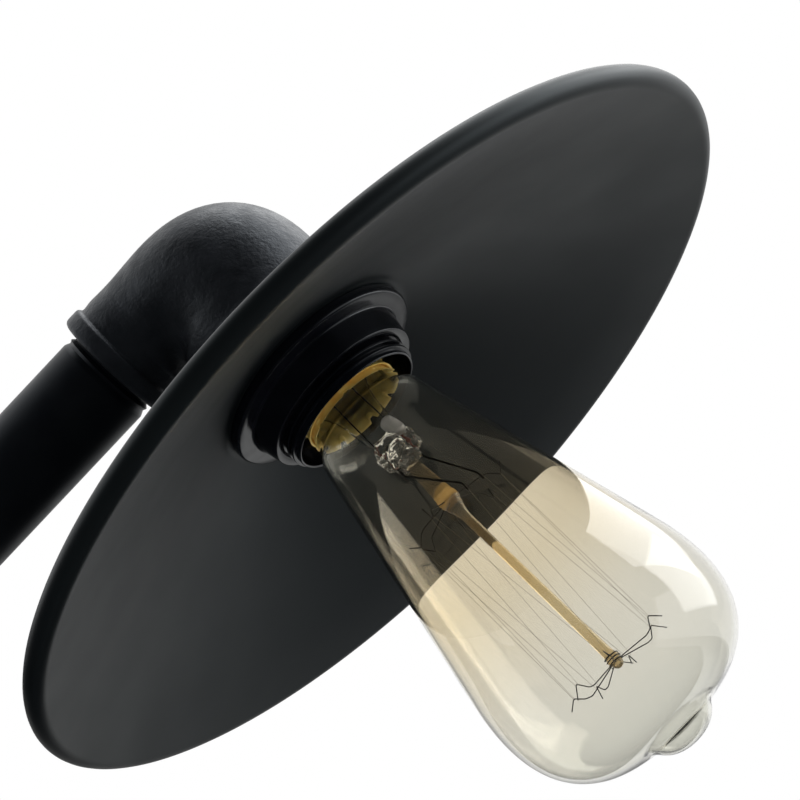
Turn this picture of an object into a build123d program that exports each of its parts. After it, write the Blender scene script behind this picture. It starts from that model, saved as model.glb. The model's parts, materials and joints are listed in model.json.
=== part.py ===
"""Pipe table lamp: a round weighted foot, an upright pipe, a 45 degree bend, an arm pipe and
a reducing elbow that holds a screw lampholder, a shallow wide shade and a long filament bulb.
Millimetres, +Z up. The origin is on the table, under the middle of the foot, and the head
reaches out towards +X."""

from build123d import *
import os
from math import asin, atan2, cos, pi, radians, sin, sqrt

# Whole lamp
stem_length = 260.0
arm_length = 100.0
arm_tilt = 45.0

# Gaps and cuts that several pieces share
running_gap = 0.05
free_gap = 0.3
cut_overrun = 2.0
hex_sides = 6

# Pipe with a taper thread at each end
pipe_dia = 26.9
pipe_bore = 21.6
pipe_chamfer = 0.6
thread_dia = 26.4
thread_depth = 0.9
thread_pitch = 1.8
thread_grip = 15.0
thread_runout_turns = 2

# Sockets of the pipe fittings
socket_dia = 31.8
socket_relief = 1.5
bead_dia = 34.6
bead_width = 5.2
bead_round = 1.6

# Bend between the stem and the arm
bend_reach = 25.0
bend_radius = 30.0

# Reducing elbow at the head
elbow_leg = 9.5
elbow_crotch = 3.2
elbow_swell = 1.0
elbow_sections = 7
cup_dia = 46.6
cup_leg = 15.9
cup_bead_dia = 50.6
cup_bead_width = 9.0
cup_bead_round = 2.4
cup_floor_gap = 0.5

# Foot
foot_dia = 170.0
foot_height = 20.0
foot_round = 5.0
foot_wall = 13.0
foot_roof = 7.0
foot_boss_dia = 10.0
pad_thickness = 2.0
pad_inset = 5.0
pad_chamfer = 0.7
cover_thickness = 1.5
cover_lip = 5.0
cover_screw_dia = 4.0
cover_screw_grip = 6.0
cover_screw_inset = 10.0
cover_screw_count = 4
cover_screw_angle = 45.0

# Floor flange
flange_thickness = 6.0
flange_round = 2.0
hub_dia = 38.0
hub_height = 22.0
bolt_count = 4
bolt_angle = 45.0
bolt_dia = 6.0
bolt_head_width = 10.0
bolt_head_height = 4.0
bolt_head_chamfer = 0.5
nut_height = 5.0
bolt_tail = 1.0
wire_hole_dia = 16.0

# Toggle switch on the foot
switch_body_length = 18.0
switch_body_width = 14.0
switch_body_height = 8.0
switch_body_round = 1.2
bush_dia = 12.0
bush_bore = 7.4
bush_rise = 9.0
bush_flare = 1.2
bush_plate_dia = 16.0
bush_plate = 0.8
switch_nut_width = 15.0
switch_nut_height = 3.0
lever_ball_dia = 6.8
lever_pivot_depth = 4.5
lever_length = 19.0
lever_neck_dia = 3.2
lever_tip_dia = 5.4
lever_tail = 4.0
lever_lean = 14.0

# Cord gland at the back of the foot
gland_rise = 8.0
gland_bore = 7.2
gland_barrel_dia = 9.6
gland_collar_dia = 13.0
gland_collar = 5.0
gland_collar_round = 1.2
gland_nut_width = 13.0
gland_nut_height = 3.0
gland_spot_depth = 1.0

# Terminal block inside the foot
block_wall_gap = 18.0
block_length = 14.0
block_width = 24.0
block_height = 8.0
block_round = 1.2
block_pitch = 12.0
sleeve_dia = 4.6
sleeve_bore = 2.8
clamp_screw_dia = 2.2
clamp_screw_inset = 3.4
block_screw_dia = 3.0
block_screw_grip = 4.0
block_screw_head_dia = 5.6
block_screw_head = 2.2

# Flex and wires
flex_dia = 6.0
flex_bend = 14.0
head_flex_bend = 9.0
core_dia = 2.2
core_offset = 1.6
core_bend = 3.0
core_spread = 10.0
core_straight = 6.0
flex_rise = 5.0

# Lampholder
holder_dia = 39.6
holder_wall = 2.5
holder_back = 3.0
holder_collar_dia = 48.0
holder_collar = 6.0
holder_nose = 16.0
holder_lip = 1.6
holder_lip_round = 0.6
holder_thread_depth = 0.9
holder_thread_turns = 2
holder_wire_hole = 9.0
holder_sink = 17.5
insert_thickness = 7.9
contact_dia = 8.4
contact_height = 1.9
contact_rim = 0.6
contact_tip_dia = 6.0
shell_wall = 0.5
shell_thread_gap = 0.35
shell_rim = 1.5
holder_screw_dia = 1.8
holder_screw_head_dia = 2.6
holder_screw_head = 1.2
holder_screw_grip = 5.0

# Shade and the ring that clamps it
shade_dia = 223.2
shade_height = 27.0
shade_sheet = 0.9
shade_flat_dia = 60.0
shade_bead_dia = 6.0
ring_flange_dia = 57.2
ring_edge = 3.0
ring_edge_round = 0.5
ring_barrel_dia = 43.4
ring_height = 10.2
ring_flare = 3.4

# Bulb cap and contacts
cap_dia = 26.2
cap_wall = 0.4
cap_thread_depth = 1.0
cap_thread_pitch = 3.6
cap_thread_turns = 5
cap_height = 26.5
cap_foot = 3.0
cap_thread_start = 5.0
cap_lip_dia = 27.8
eyelet_dia = 17.0
tip_dia = 9.0
tip_height = 1.2
tip_gap = 0.1

# Bulb glass
bulb_dia = 64.4
bulb_length = 142.8
glass_wall = 0.8
neck_start = 17.0
neck_turn = 1.0
shoulder_dia = 33.2
shoulder_height = 33.0
belly_drop = 42.3
belly_narrowing = 1.2
crown_drop = 5.4
nub_dia = 20.0

# Bulb mount
stem_tube_dia = 8.4
stem_flare_height = 9.0
stem_flare_edge = 1.0
pinch_start = 35.0
pinch_height = 12.0
pinch_width = 11.0
pinch_thickness = 4.6
pinch_round = 1.6
rod_dia = 4.4
rod_end_drop = 24.8
button_dia = 8.4
button_height = 2.8
upper_button = 61.0
lower_button_drop = 26.4
lower_button_dia = 6.6
cage_dia = 26.8
cage_top = 64.2
cage_bottom_drop = 25.6
cage_loop = 1.2
cage_bend = 0.4
filament_dia = 0.24
hook_dia = 0.5
hook_bend = 0.6
hook_overhang = 1.2
hook_kick = 2.8
lower_hook_count = 7
lead_dia = 0.7
lead_offset = 3.4
lead_bend = 3.0
lead_start = 20.0

# Shares of the sizes above that shape the curved outlines
belly_pull_shares = (0.65, 0.78)
nub_point_shares = ((0.78, 0.28), (0.5, 0.68))
hook_step_share = 0.68
flange_share = 0.5
holder_thread_shares = ((0.25, 1), (0.5, 1), (0.75, 0), (1, 0))

# Directions: up the stem, up the arm, out of the shade, and across the lamp
tilt = radians(arm_tilt)
up = Vector(0, 0, 1)
across = Vector(0, 1, 0)
along_arm = Vector(cos(tilt), 0, sin(tilt))
out_of_shade = Vector(sin(tilt), 0, -cos(tilt))

# Heights in the foot
foot_top = pad_thickness + foot_height
foot_ceiling = foot_top - foot_roof
cover_top = pad_thickness + cover_thickness
cavity_radius = foot_dia / 2 - foot_wall
cover_radius = cavity_radius + cover_lip
hub_top = foot_top + hub_height
stem_start = hub_top - thread_grip

# Places on the foot, which follow its size: the switch stands midway between flange and wall
flange_dia = foot_dia * flange_share
flange_pcd = (flange_dia + hub_dia) / 2
cover_screw_reach = cavity_radius - cover_screw_inset
switch_reach = (flange_dia / 2 + cavity_radius) / 2
block_reach = cavity_radius - block_wall_gap - block_length / 2

# Centres of the bend and of the head's elbow
socket_bore = thread_dia + 2 * running_gap
elbow_reach = cup_dia / 2 + elbow_crotch + elbow_leg
cup_reach = socket_dia / 2 + elbow_crotch + cup_leg
stem_joint = stem_start + stem_length - thread_grip
bend_centre = up * (stem_joint + bend_reach)
arm_start = bend_reach - thread_grip
arm_joint = arm_start + arm_length - thread_grip
head_centre = bend_centre + along_arm * (arm_joint + elbow_reach)

# Distances from the elbow's centre along the shade's axis
holder_rear = cup_reach - holder_sink
shade_seat = cup_reach + holder_collar
shade_front = shade_seat + shade_sheet
ring_end = shade_front + ring_height
holder_front = shade_seat + holder_nose
insert_rear = holder_rear + holder_back
insert_front = insert_rear + insert_thickness
bulb_foot = insert_front + contact_height + tip_gap
bulb_origin = head_centre + out_of_shade * bulb_foot
shade_rim = shade_seat + shade_height

# Heights in the bulb that follow its length
belly_height = bulb_length - belly_drop
cage_bottom = bulb_length - cage_bottom_drop
lower_button = bulb_length - lower_button_drop
rod_end = bulb_length - rod_end_drop


def profile_plane(origin, along):
    """Sketch plane with the radius on X and the piece's own axis on Y."""
    return Plane(origin=origin, x_dir=across, z_dir=across.cross(along))


def square_plane(origin, along):
    """Sketch plane square to an axis, with the lamp's across direction on X."""
    return Plane(origin=origin, x_dir=across, z_dir=along)


def on_bulb(radius, angle, height):
    """Point at a radius, an angle about the bulb's axis and a height above its contact."""
    turn = radians(angle)
    radial = across * cos(turn) - along_arm * sin(turn)
    return bulb_origin + radial * radius + out_of_shade * height


def round_wire(points, diameter, bend):
    """Wire of round section along straight runs joined by tangent arcs."""
    with BuildPart() as wire:
        with BuildLine() as path:
            FilletPolyline(*points, radius=bend)
        with BuildSketch(Plane(origin=path.wire() @ 0, z_dir=path.wire() % 0)):
            Circle(diameter / 2)
        sweep(path=path.wire())
    return wire.part


def straight_rod(start, along, length, diameter):
    """Plain round rod from a point along a direction."""
    with BuildPart() as rod:
        with BuildSketch(square_plane(start, along)):
            Circle(diameter / 2)
        extrude(amount=length)
    return rod.part


def threaded_pipe(start, along, length):
    """Pipe whose ends show the last turns of thread beyond the fitting."""
    inner = pipe_bore / 2
    outer = pipe_dia / 2
    crest = thread_dia / 2
    end_points = [(inner, 0), (crest - pipe_chamfer, 0), (crest, pipe_chamfer), (crest, thread_grip)]
    for turn in range(thread_runout_turns):
        groove = thread_depth * (thread_runout_turns - turn) / thread_runout_turns
        valley = thread_grip + (turn + 1 / 2) * thread_pitch
        end_points.append((crest - groove, valley))
        end_points.append((crest, valley + thread_pitch / 2))
    runout_end = thread_grip + thread_runout_turns * thread_pitch
    end_points.append((outer, runout_end + pipe_chamfer))
    far_points = [(radius, length - height) for radius, height in reversed(end_points)]
    with BuildPart() as pipe:
        with BuildSketch(profile_plane(start, along)):
            with BuildLine():
                Polyline(*end_points, *far_points, close=True)
            make_face()
        revolve(axis=Axis(start, along))
    return pipe


def countersunk(gap, grip):
    """Countersunk screw with its head on the pad, or the hole for it when a gap is given."""
    shank = cover_screw_dia / 2 + gap
    with BuildPart() as screw:
        with BuildSketch(Plane.XZ):
            with BuildLine():
                Polyline(
                    (0, pad_thickness),
                    (shank + cover_thickness, pad_thickness),
                    (shank, cover_top),
                    (shank, cover_top + grip),
                    (0, cover_top + grip),
                    close=True,
                )
            make_face()
        revolve(axis=Axis.Z)
    return screw.part


# Rubber pad under the foot
with BuildPart() as base_pad:
    with BuildSketch():
        Circle(foot_dia / 2 - pad_inset)
    extrude(amount=pad_thickness)
    chamfer(base_pad.edges().group_by(Axis.Z)[0], pad_chamfer)

# Cover plate that closes the hollow of the foot
with BuildPart() as base_cover:
    with BuildSketch(Plane.XY.offset(pad_thickness)):
        Circle(cover_radius - free_gap)
    extrude(amount=cover_thickness)
    with PolarLocations(cover_screw_reach, cover_screw_count, start_angle=cover_screw_angle):
        add(countersunk(running_gap, cut_overrun), mode=Mode.SUBTRACT)

# Countersunk screws of the cover
with BuildPart() as cover_screws:
    with PolarLocations(cover_screw_reach, cover_screw_count, start_angle=cover_screw_angle):
        add(countersunk(0, cover_screw_grip))

# Cast foot, hollow underneath
with BuildPart() as base_casting:
    with BuildSketch(Plane.XY.offset(pad_thickness)):
        Circle(foot_dia / 2)
    extrude(amount=foot_height)
    fillet(base_casting.edges().group_by(Axis.Z)[-1], foot_round)
    with BuildSketch(Plane.XY.offset(pad_thickness)):
        Circle(cover_radius)
    extrude(amount=cover_thickness, mode=Mode.SUBTRACT)
    with BuildSketch(Plane.XY.offset(cover_top)):
        Circle(cavity_radius)
    extrude(amount=foot_ceiling - cover_top, mode=Mode.SUBTRACT)
    with BuildSketch(Plane.XY.offset(cover_top)):
        with PolarLocations(cover_screw_reach, cover_screw_count, start_angle=cover_screw_angle):
            Circle(foot_boss_dia / 2)
    extrude(amount=foot_ceiling - cover_top)
    with BuildSketch(Plane.XY.offset(cover_top)):
        with PolarLocations(cover_screw_reach, cover_screw_count, start_angle=cover_screw_angle):
            Circle(cover_screw_dia / 2 + running_gap)
    extrude(amount=cover_screw_grip + free_gap, mode=Mode.SUBTRACT)
    with BuildSketch(Plane.XY.offset(foot_ceiling)):
        Circle(wire_hole_dia / 2)
        with PolarLocations(flange_pcd / 2, bolt_count, start_angle=bolt_angle):
            Circle(bolt_dia / 2 + free_gap)
        with Locations((switch_reach, 0)):
            Circle(bush_dia / 2 + free_gap)
    extrude(amount=foot_roof, mode=Mode.SUBTRACT)
    with BuildSketch(Plane.XY.offset(foot_ceiling)):
        with Locations((-block_reach, 0)):
            Circle(block_screw_dia / 2 + running_gap)
    extrude(amount=block_screw_grip + free_gap, mode=Mode.SUBTRACT)
    # Bore and flat seats of the cord gland
    gland_height = pad_thickness + gland_rise
    gland_outer_seat = foot_dia / 2 - gland_spot_depth
    gland_inner_seat = cavity_radius + gland_spot_depth
    with BuildSketch(Plane.YZ.offset(-foot_dia / 2 - cut_overrun)):
        with Locations((0, gland_height)):
            Circle(gland_collar_dia / 2 + free_gap)
    extrude(amount=gland_spot_depth + cut_overrun, mode=Mode.SUBTRACT)
    with BuildSketch(Plane.YZ.offset(-gland_inner_seat)):
        with Locations((0, gland_height)):
            Circle(gland_nut_width / 2 / cos(pi / hex_sides) + free_gap)
    extrude(amount=gland_spot_depth + cut_overrun, mode=Mode.SUBTRACT)
    with BuildSketch(Plane.YZ.offset(-foot_dia / 2)):
        with Locations((0, gland_height)):
            Circle(gland_barrel_dia / 2 + running_gap)
    extrude(amount=foot_wall + cut_overrun, mode=Mode.SUBTRACT)

# Floor flange that screws to the foot and takes the stem
with BuildPart() as floor_flange:
    with BuildSketch(Plane.XZ):
        with BuildLine():
            Polyline(
                (0, foot_top),
                (flange_dia / 2, foot_top),
                (flange_dia / 2, foot_top + flange_thickness),
                (hub_dia / 2 + flange_round, foot_top + flange_thickness),
                (bead_dia / 2 + flange_round / 2, hub_top - bead_width),
                (bead_dia / 2 + flange_round / 2, hub_top),
                (0, hub_top),
                close=True,
            )
        make_face()
    revolve(axis=Axis.Z)
    flange_rims = floor_flange.edges().filter_by(GeomType.CIRCLE)
    fillet(flange_rims.sort_by(SortBy.RADIUS)[-1:], flange_round)
    fillet(floor_flange.edges().filter_by(GeomType.CIRCLE).group_by(Axis.Z)[-1], bead_round)
    with BuildSketch(Plane.XY.offset(foot_top)):
        Circle(socket_bore / 2)
        with PolarLocations(flange_pcd / 2, bolt_count, start_angle=bolt_angle):
            Circle(bolt_dia / 2 + free_gap)
    extrude(amount=hub_height, mode=Mode.SUBTRACT)

# Hexagon bolts and nuts that hold the flange
bolt_seat = foot_top + flange_thickness
with BuildPart() as flange_bolts:
    with BuildSketch(Plane.XY.offset(bolt_seat)):
        with PolarLocations(flange_pcd / 2, bolt_count, start_angle=bolt_angle):
            RegularPolygon(bolt_head_width / 2, hex_sides, major_radius=False)
    extrude(amount=bolt_head_height)
    chamfer(flange_bolts.edges().group_by(Axis.Z)[-1], bolt_head_chamfer)
    with BuildSketch(Plane.XY.offset(bolt_seat)):
        with PolarLocations(flange_pcd / 2, bolt_count, start_angle=bolt_angle):
            Circle(bolt_dia / 2)
    extrude(amount=-(flange_thickness + foot_roof + nut_height + bolt_tail))
with BuildPart() as flange_nuts:
    with BuildSketch(Plane.XY.offset(foot_ceiling)):
        with PolarLocations(flange_pcd / 2, bolt_count, start_angle=bolt_angle):
            RegularPolygon(bolt_head_width / 2, hex_sides, major_radius=False)
            Circle(bolt_dia / 2 + running_gap, mode=Mode.SUBTRACT)
    extrude(amount=-nut_height)

# Toggle switch: plastic body, threaded bush, nut and lever
switch_floor = foot_ceiling - bush_plate
with BuildPart() as switch_body:
    with BuildSketch(Plane.XY.offset(switch_floor)):
        with Locations((switch_reach, 0)):
            Rectangle(switch_body_length, switch_body_width)
    extrude(amount=-switch_body_height)
    fillet(switch_body.edges().filter_by(Axis.Z), switch_body_round)
bush_top = foot_top + bush_rise
with BuildPart() as switch_bush:
    with BuildSketch(Plane.XY.offset(switch_floor)):
        with Locations((switch_reach, 0)):
            Circle(bush_plate_dia / 2)
    extrude(amount=bush_plate)
    with BuildSketch(Plane.XY.offset(foot_ceiling)):
        with Locations((switch_reach, 0)):
            Circle(bush_dia / 2)
    extrude(amount=foot_roof + bush_rise)
    with BuildSketch(Plane.XY.offset(switch_floor)):
        with Locations((switch_reach, 0)):
            Circle(bush_bore / 2)
    extrude(amount=bush_plate + foot_roof + bush_rise, mode=Mode.SUBTRACT)
    chamfer(switch_bush.edges().group_by(Axis.Z)[-1].sort_by(SortBy.RADIUS)[0], bush_flare)
with BuildPart() as switch_nut:
    with BuildSketch(Plane.XY.offset(foot_top)):
        with Locations((switch_reach, 0)):
            RegularPolygon(switch_nut_width / 2, hex_sides, major_radius=False)
            Circle(bush_dia / 2 + running_gap, mode=Mode.SUBTRACT)
    extrude(amount=switch_nut_height)
lever_pivot = Vector(switch_reach, 0, bush_top - lever_pivot_depth)
lever_axis = Vector(sin(radians(lever_lean)), 0, cos(radians(lever_lean)))
with BuildPart() as switch_lever:
    with BuildSketch(profile_plane(lever_pivot, lever_axis)):
        with BuildLine():
            neck_base = sqrt((lever_ball_dia / 2) ** 2 - (lever_neck_dia / 2) ** 2)
            bat_end = lever_length - lever_tip_dia / 2
            Line((0, -lever_tail), (lever_neck_dia / 2, -lever_tail))
            Line((lever_neck_dia / 2, -lever_tail), (lever_neck_dia / 2, -neck_base))
            ThreePointArc(
                (lever_neck_dia / 2, -neck_base), (lever_ball_dia / 2, 0), (lever_neck_dia / 2, neck_base)
            )
            Line((lever_neck_dia / 2, neck_base), (lever_tip_dia / 2, bat_end))
            ThreePointArc(
                (lever_tip_dia / 2, bat_end),
                (lever_tip_dia / 2 * sin(pi / 4), bat_end + lever_tip_dia / 2 * sin(pi / 4)),
                (0, lever_length),
            )
            Line((0, lever_length), (0, -lever_tail))
        make_face()
    revolve(axis=Axis(lever_pivot, lever_axis))

# Cord gland through the foot's wall, with its nut inside
gland_back = Vector(-gland_outer_seat, 0, gland_height)
gland_barrel_length = gland_outer_seat - gland_inner_seat + gland_nut_height + gland_spot_depth
with BuildPart() as cord_gland:
    with BuildSketch(profile_plane(gland_back, Vector(1, 0, 0))):
        with BuildLine():
            Polyline(
                (gland_bore / 2, -gland_collar),
                (gland_collar_dia / 2 - gland_collar_round, -gland_collar),
                (gland_collar_dia / 2, -gland_collar + gland_collar_round),
                (gland_collar_dia / 2, 0),
                (gland_barrel_dia / 2, 0),
                (gland_barrel_dia / 2, gland_barrel_length),
                (gland_bore / 2, gland_barrel_length),
                close=True,
            )
        make_face()
    revolve(axis=Axis(gland_back, Vector(1, 0, 0)))
with BuildPart() as gland_nut:
    with BuildSketch(Plane.YZ.offset(-gland_inner_seat)):
        with Locations((0, gland_height)):
            RegularPolygon(gland_nut_width / 2, hex_sides, major_radius=False)
            Circle(gland_barrel_dia / 2 + running_gap, mode=Mode.SUBTRACT)
    extrude(amount=gland_nut_height)

# Terminal block under the foot's roof, with two brass sleeves and their screws
sleeve_height = foot_ceiling - block_height / 2
block_face = -block_reach + block_length / 2
sleeve_sides = (-block_pitch / 2, block_pitch / 2)
clamp_reaches = (-block_length / 2 + clamp_screw_inset, block_length / 2 - clamp_screw_inset)
clamp_places = [(-block_reach + reach, side) for reach in clamp_reaches for side in sleeve_sides]
with BuildPart() as terminal_block:
    with BuildSketch(Plane.XY.offset(foot_ceiling)):
        with Locations((-block_reach, 0)):
            Rectangle(block_length, block_width)
    extrude(amount=-block_height)
    fillet(terminal_block.edges().filter_by(Axis.Z), block_round)
    with BuildSketch(Plane.YZ.offset(block_face)):
        with Locations(*[(side, sleeve_height) for side in sleeve_sides]):
            Circle(sleeve_dia / 2)
    extrude(amount=-block_length, mode=Mode.SUBTRACT)
    with BuildSketch(Plane.XY.offset(foot_ceiling - block_height)):
        with Locations(*clamp_places):
            Circle(clamp_screw_dia / 2 + running_gap)
    extrude(amount=block_height / 2, mode=Mode.SUBTRACT)
    with BuildSketch(Plane.XY.offset(foot_ceiling)):
        with Locations((-block_reach, 0)):
            Circle(block_screw_dia / 2 + running_gap)
    extrude(amount=-block_height, mode=Mode.SUBTRACT)
    with BuildSketch(Plane.XY.offset(foot_ceiling - block_height)):
        with Locations((-block_reach, 0)):
            Circle(block_screw_head_dia / 2 + running_gap)
    extrude(amount=block_screw_head, mode=Mode.SUBTRACT)
with BuildPart() as terminal_sleeves:
    with BuildSketch(Plane.YZ.offset(block_face)):
        with Locations(*[(side, sleeve_height) for side in sleeve_sides]):
            Circle(sleeve_dia / 2)
            Circle(sleeve_bore / 2, mode=Mode.SUBTRACT)
    extrude(amount=-block_length)
    with BuildSketch(Plane.XY.offset(foot_ceiling - block_height)):
        with Locations(*clamp_places):
            Circle(clamp_screw_dia / 2 + running_gap)
    extrude(amount=block_height / 2, mode=Mode.SUBTRACT)
clamp_screw_length = (block_height - sleeve_bore) / 2
with BuildPart() as terminal_screws:
    with BuildSketch(Plane.XY.offset(foot_ceiling - block_height)):
        with Locations(*clamp_places):
            Circle(clamp_screw_dia / 2)
    extrude(amount=clamp_screw_length)
with BuildPart() as block_screw:
    with BuildSketch(Plane.XY.offset(foot_ceiling - block_height)):
        with Locations((-block_reach, 0)):
            Circle(block_screw_head_dia / 2)
    extrude(amount=block_screw_head)
    with BuildSketch(Plane.XY.offset(foot_ceiling - block_height)):
        with Locations((-block_reach, 0)):
            Circle(block_screw_dia / 2)
    extrude(amount=block_height + block_screw_grip)

# Upright pipe and arm pipe
stem_pipe = threaded_pipe(up * stem_start, up, stem_length)
arm_pipe = threaded_pipe(bend_centre + along_arm * arm_start, along_arm, arm_length)

# 45 degree bend that turns on the stem and carries the arm
bend_low = bend_centre - up * bend_reach
bend_high = bend_centre + along_arm * bend_reach
with BuildPart() as bend_elbow:
    with BuildLine() as bend_path:
        FilletPolyline(bend_low, bend_centre, bend_high, radius=bend_radius)
    with BuildSketch(square_plane(bend_low, up)):
        Circle(socket_dia / 2)
    sweep(path=bend_path.wire())
    for face, inward in ((bend_low, up), (bend_high, -along_arm)):
        with BuildSketch(profile_plane(face, inward)) as bend_bead:
            with Locations((bead_dia / 4, bead_width / 2)):
                Rectangle(bead_dia / 2, bead_width)
            fillet(bend_bead.vertices().group_by(Axis.X)[-1], bead_round)
        revolve(axis=Axis(face, inward))
    with BuildSketch(square_plane(bend_low, up)):
        Circle(pipe_bore / 2)
    sweep(path=bend_path.wire(), mode=Mode.SUBTRACT)
    for face, inward in ((bend_low, up), (bend_high, -along_arm)):
        with BuildSketch(square_plane(face, inward)):
            Circle(socket_bore / 2)
        extrude(amount=thread_grip, mode=Mode.SUBTRACT)

# Reducing elbow: its bend swells from the arm's socket to the wider cup of the lampholder
down_arm = -along_arm
socket_radius = socket_dia / 2
cup_radius = cup_dia / 2
crotch = head_centre + out_of_shade * (socket_radius + elbow_crotch) + down_arm * (cup_radius + elbow_crotch)
arm_face = head_centre + down_arm * elbow_reach
cup_face = head_centre + out_of_shade * cup_reach
with BuildPart() as head_elbow:
    for section in range(elbow_sections):
        share = section / (elbow_sections - 1)
        turn = share * pi / 2
        radius = socket_radius + (cup_radius - socket_radius) * share + elbow_swell * sin(2 * turn)
        outward = out_of_shade * -cos(turn) + down_arm * -sin(turn)
        forward = out_of_shade * sin(turn) + down_arm * -cos(turn)
        centre = crotch + outward * (radius + elbow_crotch)
        with BuildSketch(Plane(origin=centre, x_dir=outward, z_dir=forward)):
            with BuildLine():
                ThreePointArc((radius, 0), (0, radius), (-radius, 0))
                Line((-radius, 0), (radius, 0))
            make_face()
    loft()
    mirror(about=Plane.XZ)
    with BuildSketch(square_plane(arm_face, along_arm)):
        Circle(socket_radius)
    extrude(amount=elbow_leg)
    with BuildSketch(square_plane(cup_face, -out_of_shade)):
        Circle(cup_radius)
    extrude(amount=cup_leg)
    with BuildSketch(profile_plane(arm_face, along_arm)) as arm_bead:
        with Locations((bead_dia / 4, bead_width / 2)):
            Rectangle(bead_dia / 2, bead_width)
        fillet(arm_bead.vertices().group_by(Axis.X)[-1], bead_round)
    revolve(axis=Axis(arm_face, along_arm))
    with BuildSketch(profile_plane(cup_face, -out_of_shade)) as cup_bead:
        with Locations((cup_bead_dia / 4, cup_bead_width / 2)):
            Rectangle(cup_bead_dia / 2, cup_bead_width)
        fillet(cup_bead.vertices().group_by(Axis.X)[-1], cup_bead_round)
    revolve(axis=Axis(cup_face, -out_of_shade))
    with BuildSketch(square_plane(arm_face, along_arm)):
        Circle(socket_bore / 2)
    extrude(amount=thread_grip + socket_relief, mode=Mode.SUBTRACT)
    with BuildSketch(square_plane(arm_face, along_arm)):
        Circle(pipe_bore / 2)
    extrude(amount=elbow_reach, mode=Mode.SUBTRACT)
    with BuildSketch(square_plane(cup_face, -out_of_shade)):
        Circle(holder_dia / 2 + running_gap)
    extrude(amount=holder_sink + cup_floor_gap, mode=Mode.SUBTRACT)
    with BuildSketch(square_plane(cup_face, -out_of_shade)):
        Circle(pipe_bore / 2)
    extrude(amount=cup_reach, mode=Mode.SUBTRACT)
    with Locations(head_centre):
        Sphere(pipe_bore / 2, mode=Mode.SUBTRACT)

# Flex inside the pipes, in three lengths that meet where the lamp turns
flex_low_end = foot_ceiling + flex_rise
flex_head_end = holder_rear - flex_rise
with BuildPart() as stem_flex:
    add(straight_rod(up * flex_low_end, up, stem_joint - flex_low_end, flex_dia))
with BuildPart() as arm_flex:
    add(round_wire((bend_low, bend_centre, bend_centre + along_arm * arm_joint), flex_dia, flex_bend))
with BuildPart() as head_flex:
    flex_in = head_centre + down_arm * elbow_reach
    flex_out = head_centre + out_of_shade * flex_head_end
    add(round_wire((flex_in, head_centre, flex_out), flex_dia, head_flex_bend))

# Wires in the foot: stem to switch, stem to block, switch to block
switch_face = switch_reach - switch_body_length / 2
switch_side = switch_body_width / 4
wire_routes = (
    (
        (0, -core_offset, flex_low_end),
        (0, -core_offset, sleeve_height),
        (switch_face - core_straight, -switch_side, sleeve_height),
        (switch_face, -switch_side, sleeve_height),
    ),
    (
        (0, core_offset, flex_low_end),
        (0, core_offset, sleeve_height),
        (block_face + core_straight, -block_pitch / 2, sleeve_height),
        (block_face, -block_pitch / 2, sleeve_height),
    ),
    (
        (switch_face, switch_side, sleeve_height),
        (switch_face - core_straight, switch_side, sleeve_height),
        (0, core_spread, sleeve_height),
        (block_face + core_straight, block_pitch / 2, sleeve_height),
        (block_face, block_pitch / 2, sleeve_height),
    ),
)
with BuildPart() as foot_wires:
    for route in wire_routes:
        add(round_wire(route, core_dia, core_bend))

# Lampholder: threaded body with a collar that seats on the elbow
holder_radius = holder_dia / 2
holder_inside = holder_radius - holder_wall
thread_step = (holder_front - holder_lip - ring_end) / holder_thread_turns
with BuildPart() as holder_body:
    holder_points = [
        (holder_wire_hole / 2, holder_rear),
        (holder_radius, holder_rear),
        (holder_radius, cup_reach),
        (holder_collar_dia / 2, cup_reach),
        (holder_collar_dia / 2, shade_seat),
        (holder_radius, shade_seat),
        (holder_radius, ring_end),
    ]
    for turn in range(holder_thread_turns):
        step_start = ring_end + turn * thread_step
        for along_share, deep_share in holder_thread_shares:
            groove_radius = holder_radius - holder_thread_depth * deep_share
            holder_points.append((groove_radius, step_start + thread_step * along_share))
    holder_points += [
        (holder_radius - holder_thread_depth, holder_front - holder_lip + holder_thread_depth),
        (holder_radius - holder_thread_depth, holder_front),
        (holder_inside, holder_front),
        (holder_inside, insert_rear),
        (holder_wire_hole / 2, insert_rear),
    ]
    with BuildSketch(profile_plane(head_centre, out_of_shade)):
        with BuildLine():
            Polyline(*holder_points, close=True)
        make_face()
    revolve(axis=Axis(head_centre, out_of_shade))
    holder_rims = holder_body.edges().filter_by(GeomType.CIRCLE)
    holder_nose_edges = holder_rims.filter_by_position(
        Axis(head_centre, out_of_shade), holder_front - running_gap, holder_front + running_gap
    )
    fillet(holder_nose_edges, holder_lip_round)

# Insulating insert with its terminal screws, brass screw shell and centre contact
cap_crest = cap_dia / 2
cap_middle = cap_crest - cap_thread_depth / 2
shell_inner = cap_middle + shell_thread_gap
shell_outer = cap_crest + shell_thread_gap + shell_wall
holder_screw_reach = (shell_outer + holder_inside) / 2
holder_screw_places = ((-holder_screw_reach, 0), (holder_screw_reach, 0))
insert_seat = head_centre + out_of_shade * insert_front
with BuildPart() as holder_insert:
    with BuildSketch(square_plane(insert_seat, -out_of_shade)):
        Circle(holder_inside - running_gap)
        with Locations(*holder_screw_places):
            Circle(holder_screw_dia / 2 + running_gap, mode=Mode.SUBTRACT)
    extrude(amount=insert_thickness)
with BuildPart() as holder_screws:
    with BuildSketch(square_plane(insert_seat, out_of_shade)):
        with Locations(*holder_screw_places):
            Circle(holder_screw_head_dia / 2)
    extrude(amount=holder_screw_head)
    with BuildSketch(square_plane(insert_seat, -out_of_shade)):
        with Locations(*holder_screw_places):
            Circle(holder_screw_dia / 2)
    extrude(amount=holder_screw_grip)
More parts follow.
